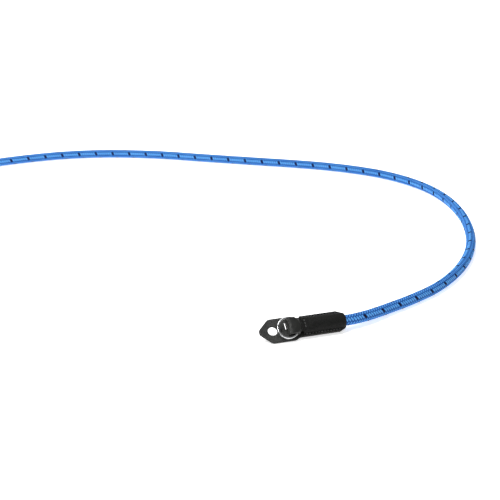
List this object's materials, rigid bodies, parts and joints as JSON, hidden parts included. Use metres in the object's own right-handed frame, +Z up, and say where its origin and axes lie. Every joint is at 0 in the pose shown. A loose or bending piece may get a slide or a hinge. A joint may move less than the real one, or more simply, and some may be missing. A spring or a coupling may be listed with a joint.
{
  "type": "camera neck strap",
  "caption": "Neck strap: a round braided cord joins two leather end tabs, each with a split ring held in a leather loop.",
  "frame": {"origin": "middle of the box round the two end fittings, on the plane that the strap lies on", "axes": "+Z up from that plane, +X along the longer side of the laid-out strap, from the far fitting to the near one, +Y towards the cord's long back run"},
  "size_m": [0.6062, 0.3774, 0.0154],
  "materials": {
    "cord_braid": "matt braided fibre, blue with dark fleck yarns",
    "black_leather": "semi-gloss grained leather",
    "ring_steel": "bright polished wire"
  },
  "bodies": {
    "root": {"near_tab": "black_leather", "near_cover": "black_leather", "near_loop": "black_leather", "near_split_ring": "ring_steel", "far_tab": "black_leather", "far_cover": "black_leather", "far_loop": "black_leather", "far_split_ring": "ring_steel", "cord": "cord_braid"}
  },
  "joints": []
}
